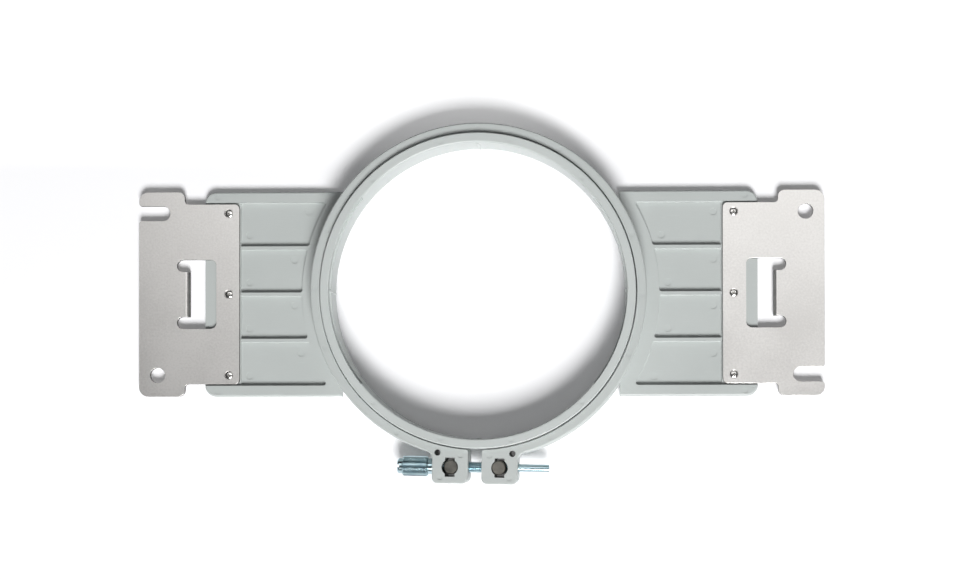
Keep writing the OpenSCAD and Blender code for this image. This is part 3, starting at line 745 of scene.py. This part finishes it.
def noise(group, scale, detail=3.0, stretch=(1, 1, 1), turn=0.0):
    """A noise texture on object coordinates, with its scale per metre."""
    place = group.nodes.new("ShaderNodeTexCoord")
    mapping = group.nodes.new("ShaderNodeMapping")
    mapping.inputs["Scale"].default_value = stretch
    mapping.inputs["Rotation"].default_value = (0, 0, turn)
    texture = group.nodes.new("ShaderNodeTexNoise")
    texture.inputs["Detail"].default_value = detail
    group.links.new(place.outputs["Object"], mapping.inputs["Vector"])
    group.links.new(mapping.outputs["Vector"], texture.inputs["Vector"])
    if isinstance(scale, (int, float)):
        texture.inputs["Scale"].default_value = scale
    else:
        group.links.new(scale, texture.inputs["Scale"])
    return texture.outputs["Fac"]


def between(group, value, low, high, to_low=0.0, to_high=1.0):
    """Spreads the values from low to high over a new range."""
    spread = group.nodes.new("ShaderNodeMapRange")
    for title, number in zip(("From Min", "From Max", "To Min", "To Max"), (low, high, to_low, to_high)):
        spread.inputs[title].default_value = number
    group.links.new(value, spread.inputs["Value"])
    return spread.outputs["Result"]


def maths(group, how, a, b):
    """One math node over two numbers or sockets."""
    step = group.nodes.new("ShaderNodeMath")
    step.operation = how
    for socket, value in zip(step.inputs, (a, b)):
        if isinstance(value, (int, float)):
            socket.default_value = value
        else:
            group.links.new(value, socket)
    return step.outputs[0]


grain, given, made = new_group("fine grain", {"Scale": 4000.0}, {"Height": "NodeSocketFloat"})
coarse = noise(grain, given.outputs["Scale"], 2)
fine = noise(grain, maths(grain, "MULTIPLY", given.outputs["Scale"], 3.1), 1)
both = maths(grain, "ADD", coarse, maths(grain, "MULTIPLY", fine, 0.4))
grain.links.new(both, made.inputs["Height"])

clouds, given, made = new_group("soft clouds", {"Scale": 40.0}, {"Tone": "NodeSocketFloat"})
slow = noise(clouds, given.outputs["Scale"], 4)
clouds.links.new(between(clouds, slow, 0.3, 0.7), made.inputs["Tone"])

scuffs, given, made = new_group("light scuffs", {"Scale": 60.0}, {"Mask": "NodeSocketFloat"})
marks = None
for turn in (0.3, 1.35, 2.4):
    lines = between(scuffs, noise(scuffs, given.outputs["Scale"], 2, (1, 26, 1), turn), 0.66, 0.74)
    marks = lines if marks is None else maths(scuffs, "MAXIMUM", marks, lines)
scuffs.links.new(marks, made.inputs["Mask"])
print("pattern groups:", [g.name for g in (grain, clouds, scuffs)])

# %% [markdown]
# ## The finishes
# `finish` makes one material from numbers that a maker would give: two tones that the clouds drift
# between, how rough it is, how deep and fine its grain is, and how much the scuffs show. Plain numbers go
# straight on the shader, and only what varies over the surface comes through nodes.

# %% Write the recipe for a finish
def finish(name, light, dark, rough, metal=0.0, grain_scale=4000, grain_depth=0.00001, cloud_scale=40,
           scuff=0.0, scuff_tone=1.15, speckle=0.0):
    """A material with drifting tone, fine relief and light scuffs."""
    material = bpy.data.materials.new(name)
    material.use_nodes = True
    tree = material.node_tree
    shader = tree.nodes["Principled BSDF"]
    shader.inputs["Metallic"].default_value = metal

    def group(kind, scale, output):
        """One of the shared patterns, at a scale of its own."""
        node = tree.nodes.new("ShaderNodeGroup")
        node.node_tree = kind
        node.inputs["Scale"].default_value = scale
        return node.outputs[output]

    height = group(grain, grain_scale, "Height")
    tone = maths(tree, "ADD", group(clouds, cloud_scale, "Tone"),
                 between(tree, height, 0.45, 0.95, -speckle, speckle))
    worn = group(scuffs, 90, "Mask")
    mix = tree.nodes.new("ShaderNodeMix")
    mix.data_type = "RGBA"
    mix.inputs["A"].default_value, mix.inputs["B"].default_value = (*dark, 1), (*light, 1)
    tree.links.new(tone, mix.inputs["Factor"])
    brush = tree.nodes.new("ShaderNodeMix")
    brush.data_type = "RGBA"
    brush.inputs["B"].default_value = (*[min(1, c*scuff_tone) for c in light], 1)
    tree.links.new(mix.outputs["Result"], brush.inputs["A"])
    tree.links.new(maths(tree, "MULTIPLY", worn, scuff), brush.inputs["Factor"])
    tree.links.new(brush.outputs["Result"], shader.inputs["Base Color"])
    drift = maths(tree, "ADD", between(tree, tone, 0, 1, rough*0.93, rough*1.07),
                  maths(tree, "MULTIPLY", worn, 0.12*scuff))
    tree.links.new(drift, shader.inputs["Roughness"])
    bump = tree.nodes.new("ShaderNodeBump")
    bump.inputs["Strength"].default_value = 1.0
    bump.inputs["Distance"].default_value = grain_depth
    tree.links.new(height, bump.inputs["Height"])
    tree.links.new(bump.outputs["Normal"], shader.inputs["Normal"])
    return material


frame_plastic = finish("moulded grey plastic", (0.490, 0.520, 0.508), (0.464, 0.494, 0.482), 0.42,
                       grain_scale=3500, grain_depth=0.000012, cloud_scale=28, scuff=0.25)
ring_plastic = finish("inner ring plastic", (0.535, 0.567, 0.555), (0.505, 0.538, 0.525), 0.38,
                      grain_scale=3500, grain_depth=0.000010, cloud_scale=28, scuff=0.2)
satin_plate = finish("satin nickel sheet", (0.78, 0.765, 0.745), (0.70, 0.685, 0.665), 0.38, metal=1,
                     grain_scale=900, grain_depth=0.00003, cloud_scale=30, scuff=0.08, speckle=0.6)
bright_screw = finish("bright screw steel", (0.80, 0.79, 0.77), (0.66, 0.65, 0.63), 0.22, metal=1,
                      grain_scale=5000, grain_depth=0.000005, cloud_scale=300, scuff=0.3)
zinc = finish("zinc plated thumbscrew", (0.54, 0.67, 0.71), (0.36, 0.50, 0.55), 0.2, metal=1,
              grain_scale=4500, grain_depth=0.000004, cloud_scale=160, scuff=0.2)
dark_barrel = finish("dark turned barrel", (0.24, 0.23, 0.205), (0.15, 0.145, 0.13), 0.38, metal=1,
                     grain_scale=3000, grain_depth=0.000020, cloud_scale=260, scuff=0.12, scuff_tone=1.5)
brass = finish("pressed brass insert", (0.80, 0.60, 0.30), (0.66, 0.47, 0.21), 0.34, metal=1,
               grain_scale=4000, grain_depth=0.000010, cloud_scale=200, scuff=0.2)
# Very dark metal: the dull sheared edge on cut walls, and painted shade on the tongue and rolled edges.
sheared_edge_and_shade = finish("sheared edge with painted shade", (0.20, 0.195, 0.19), (0.09, 0.09, 0.088), 0.5, metal=1,
                 grain_scale=3000, grain_depth=0.000060, cloud_scale=500, scuff=0.4)
print("finishes:", len(bpy.data.materials))

# %% [markdown]
# Each new piece now gets its finish, rides on the body that its solid belongs to, and stands in for that
# solid. The plates' steep faces get a very dark finish. On the cut walls it is the dull sheared edge, while
# on the bent tongue and the outer half of the rolled edges it is painted shade. The six brass inserts under
# the plates are plain and hidden, so their solids stay as they are and only get the brass.

# %% Give the pieces their finishes and bodies
DARK_FACES_BELOW = 0.62
dressed = []


def dress(piece, finish_used, slot, body, *nodes):
    """Puts a finish on a piece, and the piece in the place of its solids."""
    piece.data.materials.clear()
    piece.data.materials.append(finish_used)
    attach(piece, body)
    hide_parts(*nodes)
    dressed.append(piece.name)


dress(hoop_moulding, frame_plastic, "frame_plastic", "frame", "outer_frame")
dress(field_ring, ring_plastic, "ring_plastic", "inner_ring", "inner_ring")
dress(plate, satin_plate, "plate_metal", "frame", "right_mount_plate")
dress(left_plate, satin_plate, "plate_metal", "frame", "left_mount_plate")
# Faces steeper than the limit get the dark finish: sheared walls, plus painted shade on the bent tongue and
# on the outer half of the rolled edges.
for stamping in (plate, left_plate):
    stamping.data.materials.append(sheared_edge_and_shade)
    for face in stamping.data.polygons:
        face.material_index = 1 if abs(face.normal.z) < DARK_FACES_BELOW else 0
for node, screw in small_screws.items():
    dress(screw, bright_screw, "screw_steel", "frame", node)
dress(thumbscrew, zinc, "thumbscrew_zinc", "thumbscrew", "clamp_screw")
dress(barrels["clamp_barrel"], dark_barrel, "barrel_steel", "frame", "clamp_barrel")
dress(barrels["clamp_nut"], dark_barrel, "barrel_steel", "nut", "clamp_nut")
for name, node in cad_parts.items():
    if "insert" in name:
        node.data.materials.clear()
        node.data.materials.append(brass)
print("pieces dressed:", len(dressed))

# %% [markdown]
# ## Floor, light and camera
# The photograph was taken from above on white paper, with one soft lamp on the near side and a weaker box
# overhead. The paper is a matt white that takes the hoop's shadow. In the photograph the shadows on the
# paper are paler than those on the plastic, and the ring's shadow is palest on the far side. So the paper
# adds a faint glow, stronger there, that only the camera and reflections see: no more light falls on the
# hoop. Far from the hoop the glow makes the paper run white into the backdrop.

# %% Lay the paper floor
def mirrored_rays(tree, rays):
    """One for rays that come by way of a mirror or a glass, zero for all others."""
    return maths(tree, "MAXIMUM", rays.outputs["Is Glossy Ray"], rays.outputs["Is Transmission Ray"])


GLOW_NEAR, GLOW_FAR, RISES_FROM_TO = 0.11, 0.36, (0.066, 0.098)
WHITE_FROM_TO = (0.3, 0.9)
bpy.ops.object.select_all(action="DESELECT")
bpy.ops.mesh.primitive_plane_add(size=6, location=(0, 0, -0.0002))
floor = bpy.context.object
floor.name = "paper_floor"
paper = bpy.data.materials.new("white paper")
paper.use_nodes = True
tree = paper.node_tree
shader = tree.nodes["Principled BSDF"]
shader.inputs["Base Color"].default_value = (0.93, 0.93, 0.945, 1)
shader.inputs["Roughness"].default_value = 0.9
shader.inputs["Emission Color"].default_value = (1, 1, 1, 1)
place = tree.nodes.new("ShaderNodeTexCoord")
spot = tree.nodes.new("ShaderNodeSeparateXYZ")
rays = tree.nodes.new("ShaderNodeLightPath")
tree.links.new(place.outputs["Object"], spot.inputs["Vector"])
reach = tree.nodes.new("ShaderNodeVectorMath")
reach.operation = "LENGTH"
tree.links.new(place.outputs["Object"], reach.inputs[0])
glow = maths(tree, "MAXIMUM", between(tree, spot.outputs["Y"], *RISES_FROM_TO, GLOW_NEAR, GLOW_FAR),
             between(tree, reach.outputs["Value"], *WHITE_FROM_TO))
seen = maths(tree, "MAXIMUM", rays.outputs["Is Camera Ray"], mirrored_rays(tree, rays))
tree.links.new(maths(tree, "MULTIPLY", glow, seen), shader.inputs["Emission Strength"])
floor.data.materials.append(paper)
print("floor width, in mm:", round(floor.dimensions.x*1000))

# %% [markdown]
# The shadows tell where the lamp was. The shadow inside the ring ends about 18 mm from a wall 20.5 mm high,
# so the lamp stood 48 degrees above the paper, and the shadow's blurred edge gives the lamp's size. The
# metal shows the rest: the plates are brighter towards the far right, so a wide box hangs there, which
# only reflections see. The backdrop is white for the camera, with a strength a little over one to make up
# for the faint blue of the air. Reflections see it white too, low down on the near side, while the ceiling
# and the far side are dark: the far flanks of the screw are nearly black.

# %% Light the hoop
AIR_LIGHT, BACKDROP_SEEN = 0.11, 1.04
CEILING, FAR_SIDE = 0.05, 0.15
KEY_TURN, KEY_RISE, KEY_AWAY, KEY_SIZE, KEY_RADIANCE = -77, 48, 3.2, 1.2, 28
BOX_SPOT, BOX_WIDE, BOX_DEEP, BOX_RADIANCE = (0.125, 0.55, 1.5), 1.85, 0.9, 1.65
world = bpy.data.worlds.new("studio")
world.use_nodes = True
bpy.context.scene.world = world
tree = world.node_tree
air = tree.nodes["Background"]
air.inputs["Color"].default_value = (0.97, 0.98, 1, 1)
rays = tree.nodes.new("ShaderNodeLightPath")
place = tree.nodes.new("ShaderNodeTexCoord")
towards = tree.nodes.new("ShaderNodeSeparateXYZ")
tree.links.new(place.outputs["Generated"], towards.inputs["Vector"])
backdrop = maths(tree, "MULTIPLY", between(tree, towards.outputs["Z"], 0.15, 0.4, 1, CEILING),
                 between(tree, towards.outputs["Y"], -0.1, 0.4, 1, FAR_SIDE))
reflected = mirrored_rays(tree, rays)
room = maths(tree, "ADD", between(tree, reflected, 0, 1, AIR_LIGHT, 0),
             maths(tree, "MULTIPLY", reflected, backdrop))
camera_sees = maths(tree, "MULTIPLY", rays.outputs["Is Camera Ray"], BACKDROP_SEEN)
tree.links.new(maths(tree, "MAXIMUM", room, camera_sees), air.inputs["Strength"])


def soft_lamp(name, spot, wide, deep, radiance):
    """A flat lamp at a spot in metres that looks at the hoop."""
    light = bpy.data.lights.new(name, "AREA")
    light.shape, light.size, light.size_y = "RECTANGLE", wide, deep
    light.energy = radiance*math.pi*wide*deep
    lamp = bpy.data.objects.new(name, light)
    lamp.location = spot
    lamp.rotation_euler = Vector(spot).to_track_quat("Z", "Y").to_euler()
    bpy.context.scene.collection.objects.link(lamp)
    return lamp


a, e = math.radians(KEY_TURN), math.radians(KEY_RISE)
key_spot = Vector((math.cos(a)*math.cos(e), math.sin(a)*math.cos(e), math.sin(e)))*KEY_AWAY
soft_lamp("key_lamp", key_spot, KEY_SIZE, KEY_SIZE, KEY_RADIANCE)
overhead = soft_lamp("overhead_box", BOX_SPOT, BOX_WIDE, BOX_DEEP, BOX_RADIANCE)
overhead.rotation_euler = (0, 0, 0)
overhead.visible_diffuse = False

# %% [markdown]
# The camera was worked back from points of the photograph: the ends of the arms, the rings and the clamp.
# It looks almost straight down, a little right of the middle. The shift is what trimming a picture does.

# %% Place the camera
view = bpy.data.cameras.new("portrait")
view.sensor_width, view.lens = 36, 48.783
view.shift_x, view.shift_y = -0.10, 0.13
view.clip_start, view.clip_end = 0.01, 20
camera = bpy.data.objects.new("portrait", view)
camera.location = (0.061681, -0.068589, 0.679143)
camera.rotation_euler = (0.00797, 0.01601, -0.00162)
bpy.context.scene.collection.objects.link(camera)
bpy.context.scene.camera = camera
bpy.context.scene.view_settings.view_transform = "Standard"
print("camera height, in mm:", round(camera.location.z*1000))
